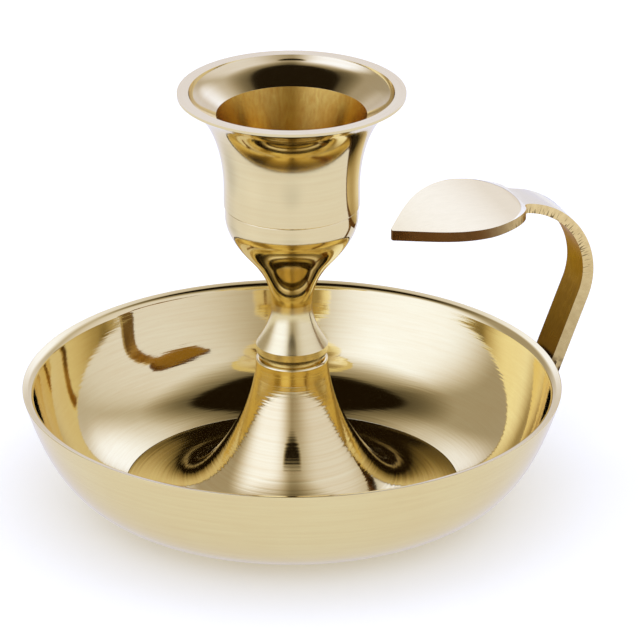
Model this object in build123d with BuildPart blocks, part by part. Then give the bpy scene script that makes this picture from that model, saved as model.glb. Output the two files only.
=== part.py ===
# Brass chamberstick: a drip bowl on the table, a trumpet pedestal standing on its floor, a turned
# candle cup pulled down on the pedestal by a screw from below, and a bent strap handle with a
# leaf-shaped thumb pad brazed to the outside of the bowl. Millimetres, +Z up, the table at z = 0,
# and the turning axis of bowl, pedestal and cup on Z.
import os
from math import cos, radians, sin
from build123d import *

os.makedirs("parts", exist_ok=True)

# Whole part
overall_height = 79.8      # from the table to the top of the lip

# Drip bowl
rim_radius = 50.0
bowl_height = 21.6
rim_wall = 1.9
rim_drop = 0.45            # the rim's top face falls this much towards the inside
rim_round = 0.25
base_radius = 25.0         # flat underside
floor_step = 6.0           # the flat floor inside is this much wider
floor_thickness = 1.1      # under the pedestal's foot
wall_lean = 17.6           # degrees from upright at the rim, outside
inner_lean = 14.4          # and inside
floor_break = 18.5         # degrees at which the inside wall leaves the pedestal's foot
base_pull = 15.1           # length over which the outer curve keeps close to the table
rim_pull = 15.8            # length over which the wall keeps its lean below the rim, outside
inner_pull = 16.0          # and inside
floor_pull = 5.6           # length over which the inner curve keeps the floor break
boss_wall = 2.0            # wall of the raised centre over the screw head

# Tie screw and washer
thread_radius = 2.5
thread_pitch = 0.8
thread_turns = 11.0        # turns of thread held in the cup
thread_play = 0.05         # between screw and tapped hole
screw_play = 0.3           # between screw and plain holes
screw_point = 0.5          # chamfer at the tip
tap_runout = 0.6           # tapped hole beyond the screw's tip
head_radius = 4.25
head_height = 3.3
head_setback = 0.7         # the head stays this far above the table
head_chamfer = 0.3
slot_width = 1.2
slot_depth = 1.6
washer_radius = 5.0
washer_thickness = 1.0
washer_room = 1.0          # between washer and recess wall

# Pedestal
foot_play = 0.1            # between the foot's edge and the bowl, which it is let into
foot_edge = 0.6            # thickness of the foot at its edge, level with the bowl's wall
foot_pull = 3.27           # length over which the foot keeps level
knee_radius = 19.65        # where the foot turns up into the trumpet
knee_rise = 2.08           # above the bowl's floor
knee_angle = 27.2          # degrees from level
knee_pull_down = 4.25
knee_pull_up = 7.33
seat_radius = 6.7          # top of the pedestal, under the cup's collar
seat_pull = 8.33           # length over which the trumpet keeps upright
seat_round = 0.5
boss_play = 0.4            # between the bowl's raised centre and the pedestal

# Candle cup, its lengths stacked from the seat on the pedestal
neck_inset = 1.1           # the short neck under the collar leaves a dark line above the seat
neck_height = 0.4
collar_radius = 6.67
collar_chamfer = 0.5
collar_chamfer_height = 1.1
collar_height = 2.8        # top of the collar's band
collar_top_angle = 63.0    # degrees from level at which the stem leaves the collar
collar_pull = 0.6
waist_radius = 3.75
stem_length = 7.24         # from the collar to the waist
waist_pull_down = 3.18
waist_pull_up = 4.09
slope_radius = 7.97        # middle of the slope under the shoulder
bell_length = 10.0         # from the waist to the middle of the slope
slope_angle = 47.8         # degrees from level
slope_pull_down = 4.24
slope_pull_up = 2.13
cup_radius = 12.28         # below the scribed line
shoulder_length = 8.29     # from the middle of the slope to the upright side
shoulder_pull = 3.31
line_rise = 2.17           # scribed line above the shoulder
line_width = 0.3
line_depth = 0.2
barrel_step = 0.22         # the barrel is this much larger above the line
barrel_length = 3.1        # straight barrel above the line
flare_pull = 7.5
lip_radius = 20.94
flare_length = 18.8
lip_edge = 0.5             # thickness of the lip at its edge
lip_round = 0.15
lip_angle = 22.0           # degrees from level under the lip's edge
lip_pull = 6.4
lip_band = 2.1             # flat band on top of the lip
funnel_top_angle = 79.0    # degrees from level inside the flat band
funnel_top_pull = 1.6
funnel_foot_angle = 31.0   # degrees from level at the mouth of the socket
funnel_foot_pull = 4.6
mouth_taper = 2.6          # the mouth of the socket is wider than its bore by this much a side
mouth_depth = 4.35         # mouth of the socket under the lip
candle_radius = 11.1
candle_play = 0.1
mouth_length = 7.95        # tapered part of the socket
bore_round = 5.0           # height of the rounding at the socket's floor
bore_base = 4.06           # socket's floor above the middle of the slope
bore_floor = 6.5           # radius of the socket's flat floor

# Handle, in its own upright plane through the axis
handle_azimuth = 20.0      # degrees behind the right-hand side
handle_rise = 31.5         # top of the handle above the rim
strap_width = 8.0
strap_thickness = 2.3
foot_gap = 0.5             # braze between the rim and the strap
foot_lean = 21.5           # degrees from upright
foot_length = 9.7          # strap below the rim
elbow_bend = 15.1          # outer radius of the strap's bend
pad_thickness = 1.9
arch_back = 35.1           # corner of the pad's arch, back from the corner of the strap's bend
arch_fall = 17.0           # degrees from level at the tip
arch_bend = 64.0
leaf_reach = 21.4          # neck of the leaf, back from the corner of the strap's bend
leaf_length = 24.5
leaf_half_width = 12.4
leaf_back = 9.4            # from the neck to the leaf's widest place
leaf_tip_angle = 52.0      # degrees between the leaf's edge and its middle line at the tip
leaf_tip_pull = 8.0
leaf_side_pull = 6.0
leaf_back_pull = 3.6
leaf_tip_round = 0.9
braze_side = 0.9           # the braze shows this far beside the strap
braze_low = 0.6            # the braze stops this far under the rim
braze_length = 7.5
braze_play = 0.06          # hairline between braze and bowl

# Heights and fits that follow from the sizes above
floor_radius = base_radius + floor_step
recess_depth = head_setback + head_height + washer_thickness
recess_radius = washer_radius + washer_room
boss_radius = recess_radius + boss_wall
boss_top = recess_depth + boss_wall
cavity_radius = boss_radius + boss_play
cavity_top = boss_top + boss_play
plain_hole = thread_radius + screw_play
tapped_hole = thread_radius + thread_play
thread_length = thread_turns * thread_pitch
tap_depth = thread_length + tap_runout
head_top = head_setback + head_height
bore_radius = candle_radius + candle_play
waist_height = collar_height + stem_length
slope_height = waist_height + bell_length
shoulder_height = slope_height + shoulder_length
line_height = shoulder_height + line_rise
flare_height = line_height + barrel_length
lip_height = flare_height + flare_length
seat_height = overall_height - lip_height
foot_radius = floor_radius - foot_play
foot_top = floor_thickness + foot_edge
mouth_height = lip_height - mouth_depth
bore_top = mouth_height - mouth_length
bore_bottom = slope_height + bore_base
bore_foot = bore_bottom + bore_round
barrel_radius = cup_radius + barrel_step


# Direction in a profile, degrees from level
def slant(degrees):
    return Vector(cos(radians(degrees)), sin(radians(degrees)))


# Drip bowl: one turned profile, flat at the middle outside and inside, where the pedestal's foot is
# let in, with a raised centre that hides the screw head
rim_outside = Vector(rim_radius, bowl_height)
rim_inside = Vector(rim_radius - rim_wall, bowl_height - rim_drop)
floor_edge = Vector(floor_radius, foot_top)
wall_down = slant(90 - wall_lean) * rim_pull


# Outer line of the bowl's wall from base to rim, moved outwards by some play
def wall_outside(play):
    shift = slant(0) * play
    base_edge = Vector(base_radius, 0) + shift
    Bezier(base_edge, base_edge + slant(0) * base_pull, rim_outside + shift - wall_down, rim_outside + shift)


with BuildPart() as drip_bowl:
    with BuildSketch(Plane.XZ):
        with BuildLine():
            Polyline(
                (plain_hole, boss_top),
                (plain_hole, recess_depth),
                (recess_radius, recess_depth),
                (recess_radius, 0),
                (base_radius, 0),
            )
            wall_outside(0)
            Line(rim_outside, rim_inside)
            Bezier(
                rim_inside,
                rim_inside - slant(90 - inner_lean) * inner_pull,
                floor_edge + slant(floor_break) * floor_pull,
                floor_edge,
            )
            Polyline(
                floor_edge,
                (floor_radius, floor_thickness),
                (boss_radius, floor_thickness),
                (boss_radius, boss_top),
                (plain_hole, boss_top),
            )
        make_face()
    revolve(axis=Axis.Z)
    fillet(drip_bowl.edges().sort_by(Axis.Z)[-2:], radius=rim_round)
drip_bowl.part.label = "drip_bowl"
export_step(drip_bowl.part, "parts/drip_bowl.step")

# Pedestal: a trumpet with a thin wide foot that covers the bowl's floor, turned from brass, bored
# for the screw and hollowed over the raised centre
foot_tip = Vector(foot_radius, foot_top)
knee = Vector(knee_radius, floor_thickness + knee_rise)
seat_edge = Vector(seat_radius, seat_height)
seat_side = seat_edge - slant(90) * seat_round
seat_face = seat_edge - slant(0) * seat_round
with BuildPart() as pedestal:
    with BuildSketch(Plane.XZ):
        with BuildLine():
            Polyline(
                seat_face,
                (plain_hole, seat_height),
                (plain_hole, cavity_top),
                (cavity_radius, cavity_top),
                (cavity_radius, floor_thickness),
                (foot_radius, floor_thickness),
                foot_tip,
            )
            Bezier(
                foot_tip,
                foot_tip - slant(0) * foot_pull,
                knee - slant(180 - knee_angle) * knee_pull_down,
                knee,
            )
            Bezier(
                knee,
                knee + slant(180 - knee_angle) * knee_pull_up,
                seat_side - slant(90) * seat_pull,
                seat_side,
            )
            Bezier(
                seat_side,
                seat_edge,
                seat_face,
            )
        make_face()
    revolve(axis=Axis.Z)
pedestal.part.label = "pedestal"
export_step(pedestal.part, "parts/pedestal.step")

# Candle cup: collar, waist, shoulder, barrel with a scribed line, flared lip and tapered socket
collar_top = Vector(collar_radius, collar_height)
waist = Vector(waist_radius, waist_height)
slope_middle = Vector(slope_radius, slope_height)
shoulder_top = Vector(cup_radius, shoulder_height)
barrel_top = Vector(barrel_radius, flare_height)
lip_under = Vector(lip_radius, lip_height - lip_edge)
lip_inside = Vector(lip_radius - lip_band, lip_height)
mouth = Vector(bore_radius + mouth_taper, mouth_height)
bore_end = Vector(bore_radius, bore_foot)
with BuildPart() as candle_cup:
    with BuildSketch(Plane((0, 0, seat_height), x_dir=(1, 0, 0), z_dir=(0, -1, 0))):
        with BuildLine():
            Polyline(
                (0, tap_depth),
                (tapped_hole, tap_depth),
                (tapped_hole, 0),
                (collar_radius - neck_inset, 0),
                (collar_radius - neck_inset, neck_height),
                (collar_radius - collar_chamfer, neck_height),
                (collar_radius, neck_height + collar_chamfer_height),
                collar_top,
            )
            Bezier(
                collar_top,
                collar_top + slant(180 - collar_top_angle) * collar_pull,
                waist - slant(90) * waist_pull_down,
                waist,
            )
            Bezier(
                waist,
                waist + slant(90) * waist_pull_up,
                slope_middle - slant(slope_angle) * slope_pull_down,
                slope_middle,
            )
            Bezier(
                slope_middle,
                slope_middle + slant(slope_angle) * slope_pull_up,
                shoulder_top - slant(90) * shoulder_pull,
                shoulder_top,
            )
            Polyline(
                shoulder_top,
                (cup_radius, line_height - line_width),
                (cup_radius - line_depth, line_height),
                (barrel_radius, line_height),
                barrel_top,
            )
            Bezier(
                barrel_top,
                barrel_top + slant(90) * flare_pull,
                lip_under - slant(lip_angle) * lip_pull,
                lip_under,
            )
            Polyline(
                lip_under,
                (lip_radius, lip_height),
                lip_inside,
            )
            Bezier(
                lip_inside,
                lip_inside - slant(funnel_top_angle) * funnel_top_pull,
                mouth + slant(funnel_foot_angle) * funnel_foot_pull,
                mouth,
            )
            Polyline(
                mouth,
                (bore_radius, bore_top),
                bore_end,
            )
            Bezier(
                bore_end,
                (bore_radius, bore_bottom),
                (bore_floor, bore_bottom),
            )
            Polyline(
                (bore_floor, bore_bottom),
                (0, bore_bottom),
                (0, tap_depth),
            )
        make_face()
    revolve(axis=Axis.Z)
    lip_edges = candle_cup.edges().filter_by(GeomType.CIRCLE).sort_by(SortBy.RADIUS)[-2:]
    fillet(lip_edges, radius=lip_round)
candle_cup.part.label = "candle_cup"
export_step(candle_cup.part, "parts/candle_cup.step")

# Tie screw: slotted cheese-head screw from below, thread drawn as a plain shank
with BuildPart() as tie_screw:
    with BuildSketch(Plane.XY.offset(head_setback)):
        Circle(head_radius)
    extrude(amount=head_height)
    chamfer(tie_screw.edges().group_by(Axis.Z)[0], length=head_chamfer)
    with BuildSketch(Plane.XY.offset(head_setback)):
        Rectangle(2 * head_radius, slot_width)
    extrude(amount=slot_depth, mode=Mode.SUBTRACT)
    with BuildSketch(Plane.XY.offset(head_top)):
        Circle(thread_radius)
    extrude(amount=seat_height + thread_length - head_top)
    chamfer(tie_screw.edges().group_by(Axis.Z)[-1], length=screw_point)
tie_screw.part.label = "tie_screw"
export_step(tie_screw.part, "parts/tie_screw.step")

# Washer between the screw's head and the raised centre of the bowl
with BuildPart() as washer:
    with BuildSketch(Plane.XY.offset(head_top)):
        Circle(washer_radius)
        Circle(plain_hole, mode=Mode.SUBTRACT)
    extrude(amount=washer_thickness)
washer.part.label = "washer"
export_step(washer.part, "parts/washer.step")

# Handle: a bent strip seen from the side, cut to the outline of leaf and strap seen from above
away = slant(handle_azimuth)
side_plane = Plane((0, 0, 0), x_dir=(away.X, away.Y, 0), z_dir=(away.Y, -away.X, 0))
top_plane = Plane((0, 0, 0), x_dir=(away.X, away.Y, 0), z_dir=(0, 0, 1))
handle_top = bowl_height + handle_rise
upright = slant(90 - foot_lean)
rim_inner = rim_outside + slant(0) * foot_gap
rim_outer = rim_inner + slant(-foot_lean) * strap_thickness
elbow_outer = rim_outer + upright * ((handle_top - rim_outer.Y) / upright.Y)
elbow_inner = rim_inner + upright * ((handle_top - pad_thickness - rim_inner.Y) / upright.Y)
leaf_end = elbow_outer.X - leaf_reach
leaf_tip = Vector(leaf_end - leaf_length, 0)
leaf_widest = leaf_end - leaf_back
arch_upper = Vector(elbow_outer.X - arch_back, handle_top)
arch_lower = arch_upper - slant(90 + arch_fall / 2) * (pad_thickness / cos(radians(arch_fall / 2)))
plate_run = slant(arch_fall) * leaf_length
with BuildPart() as handle:
    with BuildSketch(side_plane):
        with BuildLine():
            upper = FilletPolyline(
                arch_upper - plate_run,
                arch_upper,
                elbow_outer,
                rim_outer - upright * foot_length,
                radius=(arch_bend, elbow_bend),
            )
            lower = FilletPolyline(
                arch_lower - plate_run,
                arch_lower,
                elbow_inner,
                rim_inner - upright * foot_length,
                radius=(arch_bend - pad_thickness, elbow_bend - strap_thickness),
            )
            Line(upper @ 0, lower @ 0)
            Line(upper @ 1, lower @ 1)
        make_face()
    extrude(amount=leaf_half_width + strap_width, both=True)
    with BuildSketch(top_plane):
        with BuildLine():
            Bezier(
                leaf_tip,
                leaf_tip + slant(leaf_tip_angle) * leaf_tip_pull,
                (leaf_widest - leaf_side_pull, leaf_half_width),
                (leaf_widest, leaf_half_width),
            )
            Bezier(
                (leaf_widest, leaf_half_width),
                (leaf_widest + leaf_back_pull, leaf_half_width),
                (leaf_end, strap_width / 2 + leaf_back_pull),
                (leaf_end, strap_width / 2),
            )
            Polyline(
                (leaf_end, strap_width / 2),
                (elbow_outer.X, strap_width / 2),
                (elbow_outer.X, 0),
            )
            mirror(about=Plane.XZ)
        make_face()
    extrude(amount=handle_top, mode=Mode.INTERSECT)
    corners = handle.edges().filter_by(Axis.Z)
    fillet(corners.sort_by_distance((0, 0, handle_top))[0], radius=leaf_tip_round)
handle.part.label = "handle"
export_step(handle.part, "parts/handle.step")

# Braze between the strap's foot and the bowl, with a bead on both sides of the strap
braze_top = (rim_inner + rim_outer) / 2 - upright * braze_low
braze_end = braze_top - upright * braze_length
into_wall = slant(0) * ((strap_thickness + rim_wall) / 2 + foot_gap)
with BuildPart() as handle_braze:
    with BuildSketch(side_plane):
        with BuildLine():
            Polyline(
                braze_top,
                braze_end,
                braze_end - into_wall,
                braze_top - into_wall,
                close=True,
            )
        make_face()
    extrude(amount=strap_width / 2 + braze_side, both=True)
    with BuildSketch(Plane.XZ):
        with BuildLine():
            wall_outside(braze_play)
            Polyline(
                (rim_radius + braze_play, bowl_height),
                (0, bowl_height),
                (0, 0),
                (base_radius + braze_play, 0),
            )
        make_face()
    revolve(axis=Axis.Z, mode=Mode.SUBTRACT)
    add(handle.part, mode=Mode.SUBTRACT)
handle_braze.part.label = "handle_braze"
export_step(handle_braze.part, "parts/handle_braze.step")
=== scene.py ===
import math
from functools import partial

import bpy
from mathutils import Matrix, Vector


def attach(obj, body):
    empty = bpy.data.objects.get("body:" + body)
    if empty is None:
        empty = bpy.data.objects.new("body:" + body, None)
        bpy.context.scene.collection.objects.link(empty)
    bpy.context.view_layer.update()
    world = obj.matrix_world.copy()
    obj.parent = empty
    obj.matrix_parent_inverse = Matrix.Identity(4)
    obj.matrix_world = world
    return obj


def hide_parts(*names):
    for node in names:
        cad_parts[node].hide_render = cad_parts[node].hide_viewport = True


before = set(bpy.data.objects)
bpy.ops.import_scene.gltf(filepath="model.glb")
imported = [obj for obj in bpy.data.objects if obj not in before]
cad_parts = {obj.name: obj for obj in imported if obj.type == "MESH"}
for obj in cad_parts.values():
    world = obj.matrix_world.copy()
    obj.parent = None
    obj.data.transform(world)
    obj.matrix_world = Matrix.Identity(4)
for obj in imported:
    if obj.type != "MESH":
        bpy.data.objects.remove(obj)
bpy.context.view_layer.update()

# Drip bowl: a saucer turned from cast brass and polished to a mirror, with a narrow flat rim that
# falls a little inwards. Its raised centre, hidden under the pedestal, takes the tie screw's head.
MM = 0.001
TURN_STEPS, CURVE_STEPS, BEVEL_STEPS = 256, 32, 3
STRAIGHT_BELOW, SMOOTH_BELOW = 0.02, 9
MERGE = 0.001


def corner(radius, height):
    """A sharp point of a turned outline, in mm."""
    return (radius, height), (0, 0), (0, 0)


def knot(radius, height, before=(0, 0), after=(0, 0)):
    """A point of a turned outline with its curve handles, in mm from the point."""
    return (radius, height), before, after


def along(degrees, length):
    """A handle of some length at an angle from level."""
    return (length * math.cos(math.radians(degrees)), length * math.sin(math.radians(degrees)))


def stepped(place, degrees, length):
    """The point some way from a place at an angle from level."""
    return place[0] + along(degrees, length)[0], place[1] + along(degrees, length)[1]


def drawn(name, outline, closed, across=(0, 0, 1)):
    """Draw an outline through its knots, its second number measured along one axis, as a mesh of edges."""
    bpy.ops.object.select_all(action="DESELECT")
    bpy.ops.curve.primitive_bezier_curve_add()
    drawing = bpy.context.object
    drawing.data.dimensions = "3D"
    drawing.data.resolution_u = CURVE_STEPS
    spline = drawing.data.splines[0]
    spline.bezier_points.add(len(outline) - 2)
    spline.use_cyclic_u = closed
    for point, ((first, second), before, after) in zip(spline.bezier_points, outline):
        point.handle_left_type = point.handle_right_type = "FREE"
        place = Vector((first, 0, 0)) + second * Vector(across)
        point.co = place * MM
        point.handle_left = (place + Vector((before[0], 0, 0)) + before[1] * Vector(across)) * MM
        point.handle_right = (place + Vector((after[0], 0, 0)) + after[1] * Vector(across)) * MM
    bpy.ops.object.convert(target="MESH")
    piece = bpy.context.object
    piece.name = piece.data.name = name
    bpy.ops.object.mode_set(mode="EDIT")
    bpy.ops.mesh.select_all(action="SELECT")
    bpy.ops.mesh.dissolve_limited(angle_limit=math.radians(STRAIGHT_BELOW))
    bpy.ops.object.mode_set(mode="OBJECT")
    return piece


def edges_broken(piece, width, sharp=28):
    """Round off the sharp edges and shade the rest smooth."""
    bpy.ops.object.shade_smooth_by_angle(angle=math.radians(SMOOTH_BELOW))
    bevel = piece.modifiers.new("edges", "BEVEL")
    bevel.width = width * MM
    bevel.segments = BEVEL_STEPS
    bevel.limit_method = "ANGLE"
    bevel.angle_limit = math.radians(sharp)
    bevel.harden_normals = True
    bpy.ops.object.modifier_apply(modifier="edges")


def turned(name, outline, closed, edge_round):
    """Spin an outline drawn beside the axis and break its sharp edges."""
    piece = drawn(name, outline, closed)
    bpy.ops.object.mode_set(mode="EDIT")
    bpy.ops.mesh.select_all(action="SELECT")
    bpy.ops.mesh.spin(steps=TURN_STEPS, angle=2 * math.pi, center=(0, 0, 0), axis=(0, 0, 1))
    bpy.ops.mesh.select_all(action="SELECT")
    bpy.ops.mesh.remove_doubles(threshold=MERGE * MM)
    bpy.ops.mesh.normals_make_consistent(inside=False)
    bpy.ops.object.mode_set(mode="OBJECT")
    edges_broken(piece, edge_round)
    return piece


def feed(tree, socket, value):
    """Set a socket to a number or a colour, or join it to another node's output."""
    if isinstance(value, (int, float)):
        socket.default_value = value
    elif isinstance(value, tuple):
        socket.default_value = (*value, 1)
    else:
        tree.links.new(value, socket)


def reckon(tree, operation, first, second=0.0):
    """One sum of two numbers or node outputs."""
    node = tree.nodes.new("ShaderNodeMath")
    node.operation = operation
    feed(tree, node.inputs[0], first)
    feed(tree, node.inputs[1], second)
    return node.outputs["Value"]


def fade(tree, value, start, end, low=0.0, high=1.0, shape="SMOOTHSTEP"):
    """A step from low at start to high at end, soft unless its shape is LINEAR."""
    node = tree.nodes.new("ShaderNodeMapRange")
    node.interpolation_type = shape
    feed(tree, node.inputs["Value"], value)
    for name, number in (("From Min", start), ("From Max", end), ("To Min", low), ("To Max", high)):
        node.inputs[name].default_value = number
    return node.outputs["Result"]


def combined(tree, first, second, third):
    """A vector made of three numbers or node outputs."""
    node = tree.nodes.new("ShaderNodeCombineXYZ")
    for socket, value in zip(node.inputs, (first, second, third)):
        feed(tree, socket, value)
    return node.outputs["Vector"]


def parted(tree, vector):
    """The three numbers of a vector."""
    node = tree.nodes.new("ShaderNodeSeparateXYZ")
    feed(tree, node.inputs["Vector"], vector)
    return node.outputs["X"], node.outputs["Y"], node.outputs["Z"]


def noise(tree, vector, scale, detail, fourth=None):
    """Cloudy noise from 0 to 1, in four dimensions where a fourth number is given."""
    node = tree.nodes.new("ShaderNodeTexNoise")
    node.inputs["Scale"].default_value = scale
    node.inputs["Detail"].default_value = detail
    feed(tree, node.inputs["Vector"], vector)
    if fourth is not None:
        node.noise_dimensions = "4D"
        feed(tree, node.inputs["W"], fourth)
    return node.outputs["Fac"]


def blended(tree, factor, first, second, kind="RGBA", way="MIX"):
    """A mix of two colours, or of two numbers where its kind is FLOAT."""
    node = tree.nodes.new("ShaderNodeMix")
    node.data_type = kind
    if kind == "RGBA":
        node.blend_type = way
    feed(tree, node.inputs["Factor"], factor)
    feed(tree, node.inputs["A"], first)
    feed(tree, node.inputs["B"], second)
    return node.outputs["Result"]


def ramped(tree, value, low_stop, low, high_stop, high):
    """A colour that runs from low to high between two stops."""
    node = tree.nodes.new("ShaderNodeValToRGB")
    for stop, place, shade in zip(node.color_ramp.elements, (low_stop, high_stop), (low, high)):
        stop.position = place
        stop.color = (*shade, 1)
    feed(tree, node.inputs["Fac"], value)
    return node.outputs["Color"]


def darker(tone, share, weights):
    """A colour with each part taken down by a share of its own weight."""
    return tuple(part * (1 - share * weight) for part, weight in zip(tone, weights))


def bumped(tree, shader, height, depth):
    """Tilt a surface's shading by a pattern, whose full step stands so many mm high."""
    node = tree.nodes.new("ShaderNodeBump")
    node.inputs["Distance"].default_value = depth * MM
    feed(tree, node.inputs["Height"], height)
    feed(tree, shader.inputs["Normal"], node.outputs["Normal"])


def bare_metal(name):
    """A new metal, with its node tree, its shader and the place on the piece that its patterns follow."""
    material = bpy.data.materials.new(name)
    material.use_nodes = True
    tree = material.node_tree
    shader = tree.nodes["Principled BSDF"]
    shader.inputs["Metallic"].default_value = 1.0
    return material, tree, shader, tree.nodes.new("ShaderNodeTexCoord").outputs["Object"]


CLOUDS_PER_M, CLOUD_DETAIL, LINE_DETAIL = 70, 4, 2
WEAR_STOPS, WEAR_WEIGHTS = (0.3, 0.7), (0.5, 1.0, 1.5)
LEAST_GLOSS, MOST_GLOSS = 1.3, 0.7


def turned_metal(name, tone, dull, grain, spacing, depth, reach, streak=0.05, cloud=0.05):
    """Bare metal with the lines a lathe leaves round the upright axis, each running on for its own reach."""
    material, tree, shader, place = bare_metal(name)
    shader.inputs["Anisotropic"].default_value = grain
    shader.inputs["Anisotropic Rotation"].default_value = 0.25
    east, north, up = parted(tree, place)
    sum_of = partial(reckon, tree)
    radius = sum_of("SQRT", sum_of("ADD", sum_of("MULTIPLY", east, east), sum_of("MULTIPLY", north, north)))
    ring = combined(tree, sum_of("DIVIDE", radius, spacing * MM), sum_of("DIVIDE", up, spacing * MM),
                    sum_of("DIVIDE", east, reach * MM))
    lines = noise(tree, ring, 1.0, LINE_DETAIL, fourth=sum_of("DIVIDE", north, reach * MM))
    bumped(tree, shader, lines, depth)
    clouds = noise(tree, place, CLOUDS_PER_M, CLOUD_DETAIL)
    gloss = fade(tree, clouds, 0.0, 1.0, dull * MOST_GLOSS, dull * LEAST_GLOSS, shape="LINEAR")
    feed(tree, shader.inputs["Roughness"], gloss)
    wear = cloud + streak
    worn = blended(tree, streak / wear, clouds, lines, kind="FLOAT")
    tint = ramped(tree, worn, WEAR_STOPS[0], darker(tone, wear, WEAR_WEIGHTS), WEAR_STOPS[1], tone)
    feed(tree, shader.inputs["Base Color"], tint)
    turning = tree.nodes.new("ShaderNodeTangent")
    turning.direction_type = "RADIAL"
    turning.axis = "Z"
    feed(tree, shader.inputs["Tangent"], turning.outputs["Tangent"])
    return material


RIM_RADIUS, BOWL_HEIGHT, RIM_WALL, RIM_DROP = 50.0, 21.6, 1.9, 0.45
BASE_RADIUS, FLOOR_RADIUS, FLOOR, FOOT_TOP = 25.0, 31.0, 1.1, 1.7
RECESS_RADIUS, RECESS_DEPTH, SCREW_HOLE = 6.0, 5.0, 2.8
BOSS_RADIUS, BOSS_TOP = 8.0, 7.0
OUTER_ANGLE, INNER_ANGLE, FLOOR_BREAK = 72.4, 75.6, 18.5
BASE_PULL, OUTER_PULL, INNER_PULL, FLOOR_PULL = 15.1, 15.8, 16.0, 5.6
RIM_FALL = 180 + math.degrees(math.atan2(RIM_DROP, RIM_WALL))
RIM_ROUND, RIM_EASE, ROUNDNESS = 0.25, 0.9, 0.55
rim_out, rim_in = (RIM_RADIUS, BOWL_HEIGHT), (RIM_RADIUS - RIM_WALL, BOWL_HEIGHT - RIM_DROP)
bowl = turned("bowl_turned", [
    corner(SCREW_HOLE, BOSS_TOP),
    corner(SCREW_HOLE, RECESS_DEPTH),
    corner(RECESS_RADIUS, RECESS_DEPTH),
    corner(RECESS_RADIUS, 0),
    knot(BASE_RADIUS, 0, after=(BASE_PULL, 0)),
    knot(*stepped(rim_out, OUTER_ANGLE + 180, RIM_ROUND), before=along(OUTER_ANGLE + 180, OUTER_PULL - RIM_ROUND),
         after=along(OUTER_ANGLE, RIM_ROUND * ROUNDNESS)),
    knot(*stepped(rim_out, RIM_FALL, RIM_ROUND), before=along(RIM_FALL + 180, RIM_ROUND * ROUNDNESS)),
    knot(*stepped(rim_in, RIM_FALL + 180, RIM_EASE), after=along(RIM_FALL, RIM_EASE * ROUNDNESS)),
    knot(*stepped(rim_in, INNER_ANGLE + 180, RIM_EASE), before=along(INNER_ANGLE, RIM_EASE * ROUNDNESS),
         after=along(INNER_ANGLE + 180, INNER_PULL - RIM_EASE)),
    knot(FLOOR_RADIUS, FOOT_TOP, before=along(FLOOR_BREAK, FLOOR_PULL)),
    corner(FLOOR_RADIUS, FLOOR),
    corner(BOSS_RADIUS, FLOOR),
    corner(BOSS_RADIUS, BOSS_TOP),
], closed=True, edge_round=0.04)
BRASS = (0.88, 0.75, 0.355)
LOOKS_UP = 0.05
bowl.data.materials.append(turned_metal(
    "bowl_brass", BRASS, dull=0.05, grain=0.6, spacing=0.42, depth=0.008, reach=8, streak=0.06))
bowl.data.materials.append(turned_metal(
    "bowl_outside", BRASS, dull=0.16, grain=0.7, spacing=0.55, depth=0.006, reach=16))
for face in bowl.data.polygons:
    outward = face.normal.x * face.center.x + face.normal.y * face.center.y
    below_rim = face.center.z < (BOWL_HEIGHT - RIM_ROUND) * MM
    if outward > 0 and face.normal.z < LOOKS_UP and below_rim:
        face.material_index = 1
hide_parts("drip_bowl")
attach(bowl, "base")

# Pedestal: a trumpet with a thin wide foot, turned from brass and left with its fine tool lines. The
# foot is let into the bowl's floor, and a hollow below stands over the bowl's raised centre.
FOOT_RADIUS, FOOT_PULL = 30.9, 3.27
KNEE_RADIUS, KNEE_HEIGHT, KNEE_ANGLE, KNEE_PULL_OUT, KNEE_PULL_IN = 19.65, 3.18, 27.2, 4.25, 7.33
SEAT_RADIUS, SEAT_HEIGHT, SEAT_PULL = 6.7, 27.4, 8.33
SEAT_ROUND, SEAT_ROUND_PULL = 0.5, 0.33
CAVITY_RADIUS, CAVITY_TOP = 8.4, 7.4
pedestal = turned("pedestal_turned", [
    corner(SCREW_HOLE, SEAT_HEIGHT),
    corner(SCREW_HOLE, CAVITY_TOP),
    corner(CAVITY_RADIUS, CAVITY_TOP),
    corner(CAVITY_RADIUS, FLOOR),
    corner(FOOT_RADIUS, FLOOR),
    knot(FOOT_RADIUS, FOOT_TOP, after=(-FOOT_PULL, 0)),
    knot(KNEE_RADIUS, KNEE_HEIGHT, before=along(-KNEE_ANGLE, KNEE_PULL_OUT),
         after=along(180 - KNEE_ANGLE, KNEE_PULL_IN)),
    knot(SEAT_RADIUS, SEAT_HEIGHT - SEAT_ROUND, before=(0, -SEAT_PULL), after=(0, SEAT_ROUND_PULL)),
    knot(SEAT_RADIUS - SEAT_ROUND, SEAT_HEIGHT, before=(SEAT_ROUND_PULL, 0)),
], closed=True, edge_round=0.05)
pedestal.data.materials.append(turned_metal(
    "pedestal_brass", BRASS, dull=0.07, grain=0.85, spacing=0.55, depth=0.022, reach=40, streak=0.12))
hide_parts("pedestal")
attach(pedestal, "base")

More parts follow.
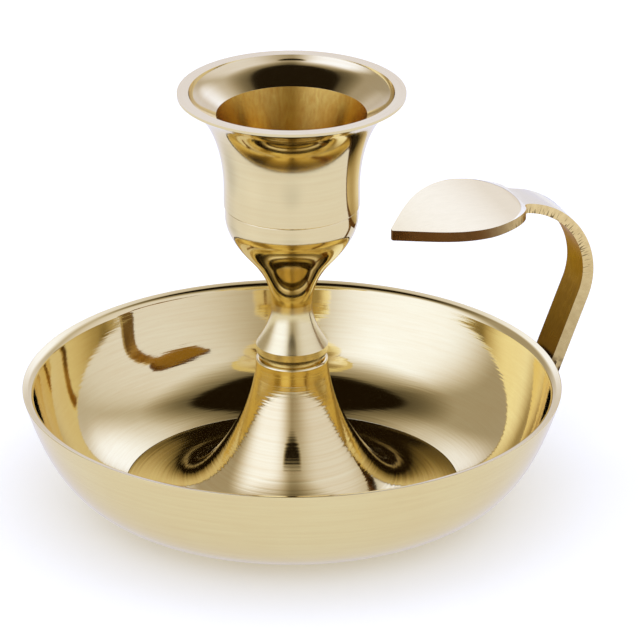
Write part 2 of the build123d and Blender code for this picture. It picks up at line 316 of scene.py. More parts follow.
# Candle cup: collar, waist, shoulder, barrel with a scribed line, flared lip and tapered socket,
# all turned from one bar of brass and tapped below for the tie screw. Heights count from its seat.
SEAT = SEAT_HEIGHT
TAP_RADIUS, TAP_TOP = 2.55, 9.4
COLLAR_RADIUS, UNDERCUT, UNDERCUT_TOP, CHAMFER = 6.67, 1.1, 0.4, 0.5
COLLAR_FOOT, COLLAR_TOP, COLLAR_ANGLE, COLLAR_PULL = 1.5, 2.8, 117, 0.6
WAIST_RADIUS, WAIST_HEIGHT, WAIST_PULL_DOWN, WAIST_PULL_UP = 3.75, 10.04, 3.18, 4.09
SLOPE, SLOPE_RADIUS, SLOPE_HEIGHT, SLOPE_PULL_DOWN, SLOPE_PULL_UP = 47.8, 7.97, 20.04, 4.24, 2.13
CUP_RADIUS, CUP_HEIGHT, CUP_PULL = 12.28, 28.33, 3.31
LINE_FOOT, LINE_TOP, LINE_DEPTH = 30.2, 30.5, 0.2
BARREL_RADIUS, FLARE_FOOT, FLARE_PULL, FLARE_ANGLE, FLARE_LIP_PULL = 12.5, 33.6, 7.5, 22, 6.4
LIP_RADIUS, LIP_BAND, LIP_EDGE, LIP_TOP, LIP_DIP, LIP_PULL = 20.94, 2.1, 0.5, 79.8, 79, 1.6
MOUTH_RADIUS, MOUTH_DEPTH, MOUTH_ANGLE, MOUTH_PULL = 13.8, 4.35, 31, 4.6
BORE_RADIUS, BORE_TOP, BORE_FOOT, BORE_PULL = 11.2, 40.1, 29.1, 3.33
BORE_FLOOR, BORE_FLAT, BORE_FLAT_PULL = 24.1, 6.5, 3.13
cup = turned("cup_turned", [
    corner(0, SEAT + TAP_TOP),
    corner(TAP_RADIUS, SEAT + TAP_TOP),
    corner(TAP_RADIUS, SEAT),
    corner(COLLAR_RADIUS - UNDERCUT, SEAT),
    corner(COLLAR_RADIUS - UNDERCUT, SEAT + UNDERCUT_TOP),
    corner(COLLAR_RADIUS - CHAMFER, SEAT + UNDERCUT_TOP),
    corner(COLLAR_RADIUS, SEAT + COLLAR_FOOT),
    knot(COLLAR_RADIUS, SEAT + COLLAR_TOP, after=along(COLLAR_ANGLE, COLLAR_PULL)),
    knot(WAIST_RADIUS, SEAT + WAIST_HEIGHT, before=(0, -WAIST_PULL_DOWN), after=(0, WAIST_PULL_UP)),
    knot(SLOPE_RADIUS, SEAT + SLOPE_HEIGHT, before=along(SLOPE + 180, SLOPE_PULL_DOWN),
         after=along(SLOPE, SLOPE_PULL_UP)),
    knot(CUP_RADIUS, SEAT + CUP_HEIGHT, before=(0, -CUP_PULL)),
    corner(CUP_RADIUS, SEAT + LINE_FOOT),
    corner(CUP_RADIUS - LINE_DEPTH, SEAT + LINE_TOP),
    corner(BARREL_RADIUS, SEAT + LINE_TOP),
    knot(BARREL_RADIUS, SEAT + FLARE_FOOT, after=(0, FLARE_PULL)),
    knot(LIP_RADIUS, LIP_TOP - LIP_EDGE, before=along(FLARE_ANGLE + 180, FLARE_LIP_PULL)),
    corner(LIP_RADIUS, LIP_TOP),
    knot(LIP_RADIUS - LIP_BAND, LIP_TOP, after=along(LIP_DIP + 180, LIP_PULL)),
    knot(MOUTH_RADIUS, LIP_TOP - MOUTH_DEPTH, before=along(MOUTH_ANGLE, MOUTH_PULL)),
    corner(BORE_RADIUS, SEAT + BORE_TOP),
    knot(BORE_RADIUS, SEAT + BORE_FOOT, after=(0, -BORE_PULL)),
    knot(BORE_FLAT, SEAT + BORE_FLOOR, before=(BORE_FLAT_PULL, 0)),
    corner(0, SEAT + BORE_FLOOR),
], closed=False, edge_round=0.12)
# Inside the bore the socket's brass is darker and browner than the cup's: painted shade in the hollow.
CUP_BRASS, SHADED_SOCKET_BRASS = (0.88, 0.755, 0.395), (0.68, 0.46, 0.09)
STEM_TOP, EDGE_MARGIN, FLOOR_MARGIN = 11, 0.05, 0.1
cup.data.materials.append(turned_metal(
    "cup_brass", CUP_BRASS, dull=0.09, grain=0.6, spacing=0.45, depth=0.002, reach=20))
cup.data.materials.append(turned_metal(
    "stem_brass", BRASS, dull=0.22, grain=0.4, spacing=0.5, depth=0.004, reach=30))
# The socket's material carries the painted shade of the bore.
cup.data.materials.append(turned_metal(
    "socket_brass_shaded", SHADED_SOCKET_BRASS, dull=0.24, grain=0.6, spacing=20, depth=0.010, reach=0.45,
    streak=0.25, cloud=0.1))
for face in cup.data.polygons:
    across, height = math.hypot(face.center.x, face.center.y) / MM, face.center.z / MM
    outward = face.normal.x * face.center.x + face.normal.y * face.center.y
    in_bore = SEAT + BORE_FLOOR - FLOOR_MARGIN < height < LIP_TOP - MOUTH_DEPTH - EDGE_MARGIN
    if height < SEAT + STEM_TOP:
        face.material_index = 1
    elif in_bore and (outward < 0 or across < BORE_FLAT + FLOOR_MARGIN):
        face.material_index = 2
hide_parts("candle_cup")
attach(cup, "cup")

# Washer: a plain ring pressed from steel and plated. It lies loose in the recess under the bowl, between
# the screw's head and the bowl's raised centre.
HEAD_TOP, WASHER_RADIUS = 4.0, 5.0
STEEL = (0.62, 0.61, 0.58)
washer = turned("washer_pressed", [
    corner(SCREW_HOLE, HEAD_TOP),
    corner(WASHER_RADIUS, HEAD_TOP),
    corner(WASHER_RADIUS, RECESS_DEPTH),
    corner(SCREW_HOLE, RECESS_DEPTH),
], closed=True, edge_round=0.12)
washer.data.materials.append(turned_metal(
    "plated_steel", STEEL, dull=0.30, grain=0.5, spacing=0.4, depth=0.008, reach=20, cloud=0.15))
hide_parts("washer")
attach(washer, "base")

# Tie screw: a slotted cheese-head screw of plated steel with a rolled thread. It comes up through bowl and
# pedestal into the cup and pulls them together, and its thread shows where the cup is unscrewed.
HEAD_RADIUS, HEAD_FOOT, HEAD_CHAMFER, SLOT = 4.25, 0.7, 0.3, (12, 1.2, 3.2)
THREAD, PITCH, THREAD_FOOT, SCREW_TIP = 2.5, 0.8, 24.0, 36.2
THREAD_DEPTH, ROOT_FOOT, CREST_FOOT, CREST_TOP, ROOT_TOP = 0.48, 0.1, 0.38, 0.5, 0.02
THREAD_TURNS, THREAD_STEPS, THREAD_SMOOTH = 19, 40, 25
POINT_CHAMFER, POINT_SPARE, POINT_INSET = 1, 0.5, 0.5


def combine(piece, tool, operation):
    """Cut one solid by another, or leave what both share, and put the tool away."""
    bpy.ops.object.select_all(action="DESELECT")
    bpy.context.view_layer.objects.active = piece
    piece.select_set(True)
    cut = piece.modifiers.new("cut", "BOOLEAN")
    cut.operation = operation
    cut.object = tool
    cut.solver = "EXACT"
    bpy.ops.object.modifier_apply(modifier="cut")
    bpy.data.objects.remove(tool)


screw = turned("screw_rolled", [
    corner(0, HEAD_FOOT),
    corner(HEAD_RADIUS - HEAD_CHAMFER, HEAD_FOOT),
    corner(HEAD_RADIUS, HEAD_FOOT + HEAD_CHAMFER),
    corner(HEAD_RADIUS, HEAD_TOP),
    corner(THREAD, HEAD_TOP),
    corner(THREAD, THREAD_FOOT),
    corner(0, THREAD_FOOT),
], closed=False, edge_round=0.1)
bpy.ops.object.select_all(action="DESELECT")
bpy.ops.mesh.primitive_cube_add(size=1, location=(0, 0, HEAD_FOOT * MM), scale=[side * MM for side in SLOT])
combine(screw, bpy.context.object, "DIFFERENCE")
thread_start = THREAD_FOOT - 2 * PITCH
thread = drawn("screw_thread", [
    corner(THREAD - THREAD_DEPTH, thread_start),
    corner(THREAD - THREAD_DEPTH, thread_start + ROOT_FOOT),
    corner(THREAD, thread_start + CREST_FOOT),
    corner(THREAD, thread_start + CREST_TOP),
    corner(THREAD - THREAD_DEPTH, THREAD_FOOT - PITCH - ROOT_TOP),
    corner(THREAD - THREAD_DEPTH, THREAD_FOOT - PITCH),
], closed=False)
winding = thread.modifiers.new("winding", "SCREW")
winding.screw_offset = PITCH * MM
winding.iterations = THREAD_TURNS
winding.steps = winding.render_steps = THREAD_STEPS
bpy.ops.object.modifier_apply(modifier="winding")
bpy.ops.object.mode_set(mode="EDIT")
bpy.ops.mesh.select_all(action="SELECT")
bpy.ops.mesh.remove_doubles(threshold=MERGE * MM)
for height, keep_above in ((THREAD_FOOT, True), (SCREW_TIP, False)):
    bpy.ops.mesh.select_all(action="SELECT")
    bpy.ops.mesh.bisect(plane_co=(0, 0, height * MM), plane_no=(0, 0, 1), use_fill=True,
                        clear_inner=keep_above, clear_outer=not keep_above)
bpy.ops.mesh.select_all(action="SELECT")
bpy.ops.mesh.normals_make_consistent(inside=False)
bpy.ops.object.mode_set(mode="OBJECT")
point = turned("screw_point", [
    corner(0, THREAD_FOOT - POINT_CHAMFER),
    corner(THREAD + POINT_SPARE, THREAD_FOOT - POINT_CHAMFER),
    corner(THREAD + POINT_SPARE, SCREW_TIP - POINT_CHAMFER),
    corner(THREAD - POINT_INSET, SCREW_TIP),
    corner(0, SCREW_TIP),
], closed=False, edge_round=0.01)
combine(thread, point, "INTERSECT")
bpy.ops.object.shade_smooth_by_angle(angle=math.radians(THREAD_SMOOTH))
bpy.ops.object.select_all(action="DESELECT")
thread.select_set(True)
screw.select_set(True)
bpy.context.view_layer.objects.active = screw
bpy.ops.object.join()
screw.data.materials.append(turned_metal(
    "rolled_steel", STEEL, dull=0.28, grain=0.3, spacing=0.5, depth=0.004, reach=20, cloud=0.12))
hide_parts("tie_screw")
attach(screw, "screw")

# Handle: a brass strip cut to a leaf and a strap and bent round the finger, with polished faces, filed
# sides and rounded outer edges. Its foot stands against the outside of the bowl, where it is brazed.
AZIMUTH = 20.0
STRAP_WIDTH, STRAP, PAD = 8.0, 2.3, 1.9
HANDLE_TOP = 53.1
UPRIGHT = 90 - 21.5
ARCH_FALL, ARCH_BEND, ELBOW_BEND = 17.0, 64.0, 15.1
ARCH_CORNERS, ELBOW_CORNERS = (30.28, 30.56), (65.38, 62.16)
FOOT_OUTSIDE, FOOT_INSIDE, FOOT_RUN, TIP_RUN = (52.64, 20.76), (50.5, 21.6), 9.7, 24.5
LEAF_TIP, LEAF_WIDEST, LEAF_END, LEAF_HALF = 19.48, 34.58, 43.98, 12.4
NECK_ROUND, BLANK_END, BLANK_HEIGHT = 1.3, 70, 80
TIP_INSET, TIP_PULL, TIP_SIDE, TIP_CURVE = 0.1, 0.34, (0.3, 0.7), (-0.28, -0.32)
LEAF_ANGLE, LEAF_PULL, WIDEST_PULL_TIP, WIDEST_PULL_NECK = 52, 7.4, 6, 3.6
NECK_PULL, NECK_CURVE, STRAP_PULL = 2.6, (0.1, -0.7), 0.7


def side_line(arch_corner, elbow_corner, top, arch_bend, elbow_bend, foot):
    """One face of the strip seen from the side, from beyond the leaf's tip to the strap's foot."""
    arch_run = arch_bend * math.tan(math.radians(ARCH_FALL / 2))
    arch_pull = 4 / 3 * math.tan(math.radians(ARCH_FALL / 4)) * arch_bend
    turn = 180 - UPRIGHT
    elbow_run = elbow_bend * math.tan(math.radians(turn / 2))
    elbow_pull = 4 / 3 * math.tan(math.radians(turn / 4)) * elbow_bend
    return [
        corner(*stepped((arch_corner, top), ARCH_FALL + 180, TIP_RUN)),
        knot(*stepped((arch_corner, top), ARCH_FALL + 180, arch_run), after=along(ARCH_FALL, arch_pull)),
        knot(arch_corner + arch_run, top, before=(-arch_pull, 0)),
        knot(elbow_corner - elbow_run, top, after=(elbow_pull, 0)),
        knot(*stepped((elbow_corner, top), UPRIGHT + 180, elbow_run), before=along(UPRIGHT, elbow_pull)),
        corner(*stepped(foot, UPRIGHT + 180, FOOT_RUN)),
    ]


def solid_between(piece, reach):
    """Fill a drawn outline and give it depth on both sides."""
    bpy.ops.object.mode_set(mode="EDIT")
    bpy.ops.mesh.select_all(action="SELECT")
    bpy.ops.mesh.edge_face_add()
    bpy.ops.transform.translate(value=[-MM * step for step in reach])
    bpy.ops.mesh.extrude_region_move(TRANSFORM_OT_translate={"value": [2 * MM * step for step in reach]})
    bpy.ops.mesh.select_all(action="SELECT")
    bpy.ops.mesh.normals_make_consistent(inside=False)
    bpy.ops.object.mode_set(mode="OBJECT")


top_face = side_line(ARCH_CORNERS[0], ELBOW_CORNERS[0], HANDLE_TOP, ARCH_BEND, ELBOW_BEND, FOOT_OUTSIDE)
under_face = side_line(ARCH_CORNERS[1], ELBOW_CORNERS[1], HANDLE_TOP - PAD, ARCH_BEND - PAD,
                       ELBOW_BEND - STRAP, FOOT_INSIDE)
under_back = [(place, after, before) for place, before, after in reversed(under_face)]
strip = drawn("handle_bent", top_face + under_back, closed=True)
solid_between(strip, (0, LEAF_HALF + STRAP_WIDTH, 0))
half = [
    knot(LEAF_TIP + TIP_INSET, 0, after=(0, TIP_PULL)),
    knot(LEAF_TIP + TIP_SIDE[0], TIP_SIDE[1], before=TIP_CURVE, after=along(LEAF_ANGLE, LEAF_PULL)),
    knot(LEAF_WIDEST, LEAF_HALF, before=(-WIDEST_PULL_TIP, 0), after=(WIDEST_PULL_NECK, 0)),
    knot(LEAF_END, STRAP_WIDTH / 2 + NECK_ROUND, before=(0, NECK_PULL), after=NECK_CURVE),
    knot(LEAF_END + NECK_ROUND, STRAP_WIDTH / 2, before=(-STRAP_PULL, 0)),
    corner(BLANK_END, STRAP_WIDTH / 2),
]
other = [((out, -side), (after[0], -after[1]), (before[0], -before[1]))
         for (out, side), before, after in reversed(half[1:])]
blank = drawn("leaf_blank", half + other, closed=True, across=(0, 1, 0))
solid_between(blank, (0, 0, BLANK_HEIGHT))
combine(strip, blank, "INTERSECT")
BEND_CENTRE = (43.2, 38.0)
OUTER_ROUND, OUTER_STEPS, EDGE_ROUND, STRAP_SHARP = 0.95, 6, 0.3, 50
NECK_CLEAR, ALONG_STRAP = 2, 1


def off_bend(out, up):
    """How far a point of the strip lies outside the middle of its bend, along the straight parts too."""
    turned_by = math.atan2(up - BEND_CENTRE[1], out - BEND_CENTRE[0])
    turned_by = min(max(turned_by, math.radians(UPRIGHT - 90)), math.pi / 2)
    return (out - BEND_CENTRE[0]) * math.cos(turned_by) + (up - BEND_CENTRE[1]) * math.sin(turned_by)


def swung_round():
    """Turn the piece that was made along +X to the handle's own bearing."""
    bpy.ops.transform.rotate(value=-math.radians(AZIMUTH), orient_axis="Z", center_override=(0, 0, 0))


bpy.ops.object.mode_set(mode="EDIT")
bpy.ops.mesh.select_mode(type="EDGE")
bpy.ops.mesh.select_all(action="DESELECT")
bpy.ops.mesh.edges_select_sharp(sharpness=math.radians(STRAP_SHARP))
bpy.ops.object.mode_set(mode="OBJECT")
for edge in strip.data.edges:
    one, two = (strip.data.vertices[index].co / MM for index in edge.vertices)
    outside = min(off_bend(one.x, one.z), off_bend(two.x, two.z)) > ELBOW_BEND - STRAP / 2
    on_strap = abs(one.y - two.y) < ALONG_STRAP and min(one.x, two.x) > LEAF_END + NECK_CLEAR
    edge.select = edge.select and outside and on_strap
bpy.ops.object.mode_set(mode="EDIT")
bpy.ops.mesh.bevel(offset=OUTER_ROUND * MM, segments=OUTER_STEPS, affect="EDGES", clamp_overlap=True)
bpy.ops.mesh.select_mode(type="VERT")
bpy.ops.object.mode_set(mode="OBJECT")
edges_broken(strip, EDGE_ROUND, sharp=STRAP_SHARP)
bpy.ops.object.mode_set(mode="EDIT")
bpy.ops.mesh.select_all(action="SELECT")
swung_round()
bpy.ops.object.mode_set(mode="OBJECT")
DARK_BROWN, FILE_CUT = (0.10, 0.055, 0.018), (0.16, 0.10, 0.03)
RUB_STOPS, RUB_WEIGHTS = (0.35, 0.65), (1.0, 1.2, 1.5)
RUB_DETAIL, MOTTLE, MOTTLE_DETAIL = 3, 0.6, 3
PRESSED_DEPTH, PRESSED_EDGE, PRESSED_START = 0.06, (0.97, 1.03), 0.5
STAIN_ROUGH, STAIN_SPREAD, STAIN_PATCH = 0.4, 5.0, (0.85, 0.25)
HEAT_TOP, HEAT_FULL, FOOT_DARK_TOP = BOWL_HEIGHT + 5.0, BOWL_HEIGHT - 1.5, HANDLE_TOP - 4
FILE_ALONG, FILE_OUT, FILE_SCALE, FILE_EDGE = 1.7, 0.25, 2.0, (0.57, 0.62)
BEND_EDGE, BEND_OUTSIDE = (-3.0, 3.0), (ELBOW_BEND - 0.3, ELBOW_BEND - 1.4)
LEAF_FADE = (LEAF_END + 2, LEAF_TIP + 12)


def strap_metal(name, tone, leaf_light_and_shade, edge_tone, dull, scratch, contrast, marks,
                cuts=0.0, foot_dark=0.0, crisp=False):
    """Strip brass, with painted light and shade multiplied into the leaf, rubbed along or filed across, stained
    by heat at the foot and darker towards the foot.
    """
    material, tree, shader, place = bare_metal(name)
    feed(tree, shader.inputs["Specular Tint"], edge_tone)
    sum_of, step, grain = partial(reckon, tree), partial(fade, tree), partial(noise, tree)
    level = tree.nodes.new("ShaderNodeMapping")
    level.inputs["Rotation"].default_value = (0, 0, -math.radians(AZIMUTH))
    level.inputs["Scale"].default_value = (1 / MM, 1 / MM, 1 / MM)
    feed(tree, level.inputs["Vector"], place)
    out, side, up = parted(tree, level.outputs["Vector"])
    # Places along the bend and out from its middle, for marks that follow the strap.
    from_bend, over_bend = sum_of("SUBTRACT", out, BEND_CENTRE[0]), sum_of("SUBTRACT", up, BEND_CENTRE[1])
    round_bend = sum_of("MULTIPLY", sum_of("ARCTAN2", over_bend, from_bend), ELBOW_BEND)
    from_centre = sum_of("SQRT", sum_of("ADD", sum_of("POWER", from_bend, 2.0), sum_of("POWER", over_bend, 2.0)))
    rub_run = combined(tree, sum_of("MULTIPLY", round_bend, marks[0]), sum_of("MULTIPLY", side, marks[1]),
                       sum_of("MULTIPLY", from_centre, marks[2]))
    rubbed = grain(rub_run, 1.0, RUB_DETAIL)
    # Past the leaf's round back edge the strap is pressed a little lower.
    leaf_out = sum_of("DIVIDE", sum_of("SUBTRACT", out, LEAF_WIDEST), LEAF_END - LEAF_WIDEST)
    leaf_side = sum_of("DIVIDE", side, LEAF_HALF)
    past_leaf = sum_of("ADD", sum_of("POWER", leaf_out, 2.0), sum_of("POWER", leaf_side, 2.0))
    pressed = sum_of("MULTIPLY", step(past_leaf, *PRESSED_EDGE),
                     step(out, LEAF_WIDEST, LEAF_WIDEST + PRESSED_START))
    relief = sum_of("ADD", sum_of("MULTIPLY", rubbed, scratch), sum_of("MULTIPLY", pressed, -PRESSED_DEPTH))
    bumped(tree, shader, relief, 1.0)
    # Heat from the torch stains the foot, in patches.
    mottled = grain(level.outputs["Vector"], MOTTLE, MOTTLE_DETAIL)
    uneven = sum_of("ADD", sum_of("MULTIPLY", mottled, STAIN_SPREAD), up)
    stain = sum_of("MULTIPLY", step(uneven, HEAT_TOP, HEAT_FULL), step(mottled, *STAIN_PATCH))
    gloss = sum_of("MULTIPLY", sum_of("ADD", mottled, 0.5), dull)
    feed(tree, shader.inputs["Roughness"], sum_of("ADD", sum_of("MULTIPLY", stain, STAIN_ROUGH), gloss))
    # File cuts cross the sides of the bend.
    clean = ramped(tree, rubbed, RUB_STOPS[0], darker(tone, contrast, RUB_WEIGHTS), RUB_STOPS[1], tone)
    file_run = combined(tree, sum_of("MULTIPLY", round_bend, FILE_ALONG), 0.0,
                        sum_of("MULTIPLY", from_centre, FILE_OUT))
    on_bend = sum_of("MULTIPLY", step(round_bend, *BEND_EDGE), step(from_centre, *BEND_OUTSIDE))
    filed = sum_of("MULTIPLY", step(grain(file_run, FILE_SCALE, 0), *FILE_EDGE),
                   sum_of("MULTIPLY", on_bend, cuts))
    cut = blended(tree, filed, clean, FILE_CUT)
    # The leaf's colour is multiplied by painted light and shade, which sets the pad's top, rim and underside
    # apart from the strap.
    on_leaf = sum_of("SUBTRACT", 1.0, pressed) if crisp else step(out, *LEAF_FADE)
    leafed = blended(tree, on_leaf, cut, leaf_light_and_shade, way="MULTIPLY")
    # The sides and the inside grow darker towards the foot, from near the handle's top down to the bowl's rim.
    darkened_low = sum_of("MULTIPLY", step(up, FOOT_DARK_TOP, BOWL_HEIGHT), foot_dark)
    feed(tree, shader.inputs["Base Color"], blended(tree, sum_of("MAXIMUM", stain, darkened_low), leafed, DARK_BROWN))
    return material


# The polished strap is paler than brass, a painted highlight on its top; on the leaf it is multiplied back to a
# brass tone.
strip.data.materials.append(strap_metal(
    "strap_polished", tone=(1.0, 0.925, 0.60), leaf_light_and_shade=(0.87, 0.775, 0.56), edge_tone=(1.0, 1.0, 1.0),
    dull=0.12, scratch=0.0004, contrast=0.02, marks=(0.3, 2.6, 1.0), crisp=True))
# On the filed sides the leaf is multiplied to a dark brown: painted shade on the pad's rim.
strip.data.materials.append(strap_metal(
    "strap_filed", tone=(0.90, 0.70, 0.30), leaf_light_and_shade=(0.19, 0.11, 0.06), edge_tone=(0.9, 0.8, 0.6),
    dull=0.28, scratch=0.03, contrast=0.12, marks=(1.2, 0.2, 0.6), cuts=0.85, foot_dark=0.35))
# The inside of the bend is a dark brown, painted shade, and on the leaf's underside it is darkened a little more
# with painted shade.
strip.data.materials.append(strap_metal(
    "strap_inside_shaded", tone=(0.46, 0.255, 0.055), leaf_light_and_shade=(0.8, 0.8, 0.8), edge_tone=(0.8, 0.6, 0.35),
    dull=0.30, scratch=0.02, contrast=0.2, marks=(0.4, 2.6, 1.0), foot_dark=0.75))
STRAP_SIDE, LEAF_SIDE, LEAF_RIM = 0.5, 0.8, 0.3
ahead = along(AZIMUTH, 1)
for face in strip.data.polygons:
    outward = face.normal.x * ahead[0] + face.normal.y * ahead[1]
    reach = (face.center.x * ahead[0] + face.center.y * ahead[1]) / MM
    sideways = abs(face.normal.y * ahead[0] - face.normal.x * ahead[1])
    inward = outward * (BEND_CENTRE[0] - reach) + face.normal.z * (BEND_CENTRE[1] - face.center.z / MM)
    leaf_rim = abs(face.normal.z) < LEAF_RIM and reach < LEAF_END + 1
    if sideways > (STRAP_SIDE if reach > LEAF_END else LEAF_SIDE) or leaf_rim:
        face.material_index = 1
    # Faces that look in towards the bend take the painted shade of the inside.
    elif inward > 0:
        face.material_index = 2
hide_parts("handle")
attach(strip, "base")

# Braze: the seam of hard solder that ran between the strap's foot and the bowl's wall and froze in a
# small lumpy bead beside the strap, dark from the torch.
BEAD_DROP, BEAD_LENGTH, BEAD_DEPTH, BEAD_SPARE = 0.6, 7.5, 1.9, 0.9
BEAD_CUTS, BEAD_SMOOTHINGS, LUMP_SIZE, LUMP_HEIGHT, LUMP_LEVEL = 10, 4, 1.4, 0.8, 0.8
FLAKES_PER_M, FLAKE_DETAIL, FLAKE_DEPTH = 900, 5, 0.3
BURNT, BARE, BURNT_STOPS = (0.06, 0.04, 0.02), (0.42, 0.30, 0.13), (0.4, 0.66)
BURNT_ROUGH, BARE_ROUGH = 0.75, 0.35
foot_middle = ((FOOT_INSIDE[0] + FOOT_OUTSIDE[0]) / 2, (FOOT_INSIDE[1] + FOOT_OUTSIDE[1]) / 2)
bead_top = stepped(foot_middle, UPRIGHT + 180, BEAD_DROP)
bead_foot = stepped(bead_top, UPRIGHT + 180, BEAD_LENGTH)
bead = drawn("braze_bead", [
    corner(*bead_top),
    corner(*bead_foot),
    corner(bead_foot[0] - BEAD_DEPTH, bead_foot[1]),
    corner(bead_top[0] - BEAD_DEPTH, bead_top[1]),
], closed=True)
solid_between(bead, (0, STRAP_WIDTH / 2 + BEAD_SPARE, 0))
bpy.ops.object.mode_set(mode="EDIT")
bpy.ops.mesh.select_all(action="SELECT")
bpy.ops.mesh.subdivide(number_cuts=BEAD_CUTS)
bpy.ops.mesh.vertices_smooth(factor=0.5, repeat=BEAD_SMOOTHINGS)
swung_round()
bpy.ops.object.mode_set(mode="OBJECT")
bpy.ops.object.shade_smooth()
froth = bpy.data.textures.new("froth", "CLOUDS")
froth.noise_scale = LUMP_SIZE * MM
lumpy = bead.modifiers.new("lumpy", "DISPLACE")
lumpy.texture = froth
lumpy.texture_coords = "LOCAL"
lumpy.strength = LUMP_HEIGHT * MM
lumpy.mid_level = LUMP_LEVEL
bpy.ops.object.modifier_apply(modifier="lumpy")
braze, braze_tree, braze_shader, braze_place = bare_metal("braze_dark")
flakes = noise(braze_tree, braze_place, FLAKES_PER_M, FLAKE_DETAIL)
feed(braze_tree, braze_shader.inputs["Base Color"],
     ramped(braze_tree, flakes, BURNT_STOPS[0], BURNT, BURNT_STOPS[1], BARE))
feed(braze_tree, braze_shader.inputs["Roughness"],
     fade(braze_tree, flakes, 0.0, 1.0, BURNT_ROUGH, BARE_ROUGH, shape="LINEAR"))
bumped(braze_tree, braze_shader, flakes, FLAKE_DEPTH)
bead.data.materials.append(braze)
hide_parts("handle_braze")
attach(bead, "base")

# Stage: a white table without an edge in sight, inside a white cloth tent. Three soft lamps shine
# through its walls; its roof is left open and it has a door slit, so polished metal mirrors dark there.
# In the metal the table mirrors with painted pools of light and shade, and a dim warm room shows past the tent.
TABLE_SIZE, TABLE_TOP = 6, -0.0001
CLOTH, CLOTH_ROUGH, PAPER, PAPER_SHARE = (0.96, 0.965, 0.98), 0.9, (0.785, 0.80, 1.07), 0.75
LIFT, LIFT_COLOUR = 0.135, (0.97, 1.0, 1.07)
LIGHT_AND_SHADE_POOLS = (((0, -112, 0), 50, 0.80), ((-110, -45, 0), 60, 1.08), ((-100, 60, 0), 55, 0.72))
bpy.ops.object.select_all(action="DESELECT")
bpy.ops.mesh.primitive_plane_add(size=TABLE_SIZE, location=(0, 0, TABLE_TOP))
table = bpy.context.object
table.name = "table"
white = bpy.data.materials.new("white_table")
white.use_nodes = True
weave = white.node_tree
cloth = weave.nodes["Principled BSDF"]
feed(weave, cloth.inputs["Base Color"], CLOTH)
feed(weave, cloth.inputs["Roughness"], CLOTH_ROUGH)
feed(weave, cloth.inputs["Specular IOR Level"], 0.0)
spot = weave.nodes.new("ShaderNodeTexCoord").outputs["Object"]
seen = weave.nodes.new("ShaderNodeLightPath").outputs["Is Camera Ray"]


def pool(centre, wide, change):
    """A soft round pool on the cloth as the metal mirrors it: painted light where the change is above 1, painted
    shade where it is below.
    """
    distance = weave.nodes.new("ShaderNodeVectorMath")
    distance.operation = "DISTANCE"
    feed(weave, distance.inputs[0], spot)
    distance.inputs[1].default_value = [step * MM for step in centre]
    return fade(weave, distance.outputs["Value"], 0.0, wide * MM, change, 1.0)


def emission(colour, strength):
    """Light given off by the table's cloth."""
    node = weave.nodes.new("ShaderNodeEmission")
    feed(weave, node.inputs["Color"], colour)
    feed(weave, node.inputs["Strength"], strength)
    return node.outputs["Emission"]


def joined(tree, kind, first, second, share=None):
    """Two shaders added, or mixed by a share of the second."""
    node = tree.nodes.new(kind)
    sockets = [socket for socket in node.inputs if socket.type == "SHADER"]
    feed(tree, sockets[0], first)
    feed(tree, sockets[1], second)
    if share is not None:
        feed(tree, node.inputs["Fac"], share)
    return node.outputs["Shader"]


# The pools of painted light and shade, multiplied together.
pooled_light_and_shade = 1.0
for patch in LIGHT_AND_SHADE_POOLS:
    pooled_light_and_shade = reckon(weave, "MULTIPLY", pooled_light_and_shade, pool(*patch))
paper_share = fade(weave, seen, 0.0, 1.0, PAPER_SHARE, 0.0, shape="LINEAR")
surface = joined(weave, "ShaderNodeMixShader", cloth.outputs["BSDF"], emission(PAPER, pooled_light_and_shade), paper_share)
lift = emission(LIFT_COLOUR, reckon(weave, "MULTIPLY", seen, LIFT))
feed(weave, weave.nodes["Material Output"].inputs["Surface"], joined(weave, "ShaderNodeAddShader", surface, lift))
table.data.materials.append(white)

world = bpy.data.worlds.new("tent")
bpy.context.scene.world = world
world.use_nodes = True
sky = world.node_tree
sum_of, soft = partial(reckon, sky), partial(fade, sky)
east, north, rise = parted(sky, sky.nodes.new("ShaderNodeTexCoord").outputs["Generated"])
LEVEL_LEAST = 0.001
# The open roof is an egg shape overhead: its middle, and its reach on either side, per unit of height.
ROOF_EAST, ROOF_TO_EAST, ROOF_TO_WEST = 0.036, 0.517, 0.732
ROOF_NORTH, ROOF_TO_NORTH, ROOF_TO_SOUTH = 0.307, 0.426, 0.838
ROOF_EDGE, ROOF_BLUR = (0.66, 0.78, 0.0, 0.18), (0.60, 1.60, 0.0, 0.82)
# Lamps: compass bearing, half width of the core and of the whole glow in degrees, and strength.
LEFT_LAMP, RIGHT_LAMP, BACK_LAMP = (-125.8, 1, 54.4, 0.74), (107.5, 1, 69.7, 0.42), (8.7, 12.6, 48.4, 0.72)
BACK_FOOT, BACK_HEAD, WALL_GLOW = (0.30, 0.485, 0.45, 1.0), (0.524, 0.77, 1.0, 0.4), 0.40
# The door slit is behind the camera, narrow at its foot and wide at its head.
DOOR_BEARING, DOOR_SIDES = 180, (0.942, 0.978)
DOOR_TAPER, DOOR_HEAD = (0.34, 0.60, 0.052, 0.0), (0.62, 0.72, 1.0, 0.0)


def roof_share(part, middle, ahead_reach, behind_reach):
    """How far a direction lies from the roof's middle along one axis: 1 at the roof's edge."""
    over = sum_of("DIVIDE", part, sum_of("MAXIMUM", rise, LEVEL_LEAST))
    return sum_of("MAXIMUM", sum_of("DIVIDE", sum_of("SUBTRACT", over, middle), ahead_reach),
                  sum_of("DIVIDE", sum_of("SUBTRACT", middle, over), behind_reach))


def hypotenuse(first, second):
    """The length of two sides square to each other."""
    return sum_of("SQRT", sum_of("ADD", sum_of("MULTIPLY", first, first), sum_of("MULTIPLY", second, second)))


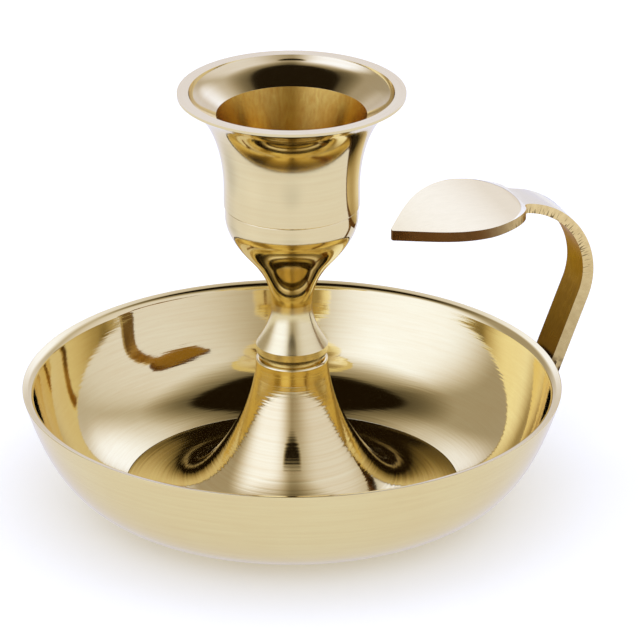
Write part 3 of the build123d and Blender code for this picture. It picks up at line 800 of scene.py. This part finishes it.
def facing(bearing):
    """How squarely a direction points at a compass bearing: 1 at it, 0 square to it."""
    toward = sum_of("ADD", sum_of("MULTIPLY", east, math.sin(math.radians(bearing))),
                    sum_of("MULTIPLY", north, math.cos(math.radians(bearing))))
    return sum_of("DIVIDE", toward, sum_of("MAXIMUM", hypotenuse(east, north), LEVEL_LEAST))


def lamp(bearing, core, reach, strength):
    """A soft upright glow on the tent's wall."""
    return soft(facing(bearing), math.cos(math.radians(reach)), math.cos(math.radians(core)), 0.0, strength)


from_roof = hypotenuse(roof_share(east, ROOF_EAST, ROOF_TO_EAST, ROOF_TO_WEST),
                       roof_share(north, ROOF_NORTH, ROOF_TO_NORTH, ROOF_TO_SOUTH))
walls = sum_of("ADD", soft(from_roof, *ROOF_EDGE), soft(from_roof, *ROOF_BLUR))
back_lamp = sum_of("MULTIPLY", lamp(*BACK_LAMP), soft(rise, *BACK_FOOT))
back_lamp = sum_of("MULTIPLY", back_lamp, soft(rise, *BACK_HEAD))
glow = sum_of("ADD", sum_of("ADD", lamp(*LEFT_LAMP), lamp(*RIGHT_LAMP)), sum_of("ADD", back_lamp, WALL_GLOW))
door_width = sum_of("SUBTRACT", facing(DOOR_BEARING), soft(rise, *DOOR_TAPER))
door = sum_of("MULTIPLY", soft(door_width, *DOOR_SIDES), soft(rise, *DOOR_HEAD))
brightness = sum_of("MULTIPLY", walls, sum_of("MULTIPLY", glow, sum_of("SUBTRACT", 1.0, door)))
DIM_CLOTH, BRIGHT_CLOTH, BRIGHTEST = (1.03, 0.89, 0.74), (0.98, 1.195, 2.36), 1.55
ROOM, ROOM_STRENGTH, PLAIN = (1.0, 0.55, 0.15), 0.010, (1.03, 1.05, 1.16)


def background(colour, strength):
    """Light that comes in from all round."""
    node = sky.nodes.new("ShaderNodeBackground")
    feed(sky, node.inputs["Color"], colour)
    feed(sky, node.inputs["Strength"], strength)
    return node.outputs["Background"]


tent_colour = blended(sky, soft(brightness, 0.0, BRIGHTEST), DIM_CLOTH, BRIGHT_CLOTH)
mirrored = joined(sky, "ShaderNodeAddShader", background(tent_colour, brightness),
                  background(ROOM, ROOM_STRENGTH))
glossy = sky.nodes.new("ShaderNodeLightPath").outputs["Is Glossy Ray"]
around = joined(sky, "ShaderNodeMixShader", background(PLAIN, 1.0), mirrored, glossy)
feed(sky, sky.nodes["World Output"].inputs["Surface"], around)

# Camera: far away with a long lens, at the angle that the photo's ellipses of rim, lip and bore give.
ELEVATION = math.radians(23.327)
DISTANCE, TARGET = 1.3507, (0.00517, 0.0, 0.03459)
SENSOR, LENS, FAR_CLIP = 36, 411.75, 20
bpy.ops.object.camera_add(
    location=(TARGET[0], TARGET[1] - DISTANCE * math.cos(ELEVATION), TARGET[2] + DISTANCE * math.sin(ELEVATION)),
    rotation=(math.pi / 2 - ELEVATION, 0, 0),
)
camera = bpy.context.object
camera.data.sensor_width = SENSOR
camera.data.lens = LENS
camera.data.clip_end = FAR_CLIP
bpy.context.scene.camera = camera
bpy.context.scene.view_settings.view_transform = "Standard"
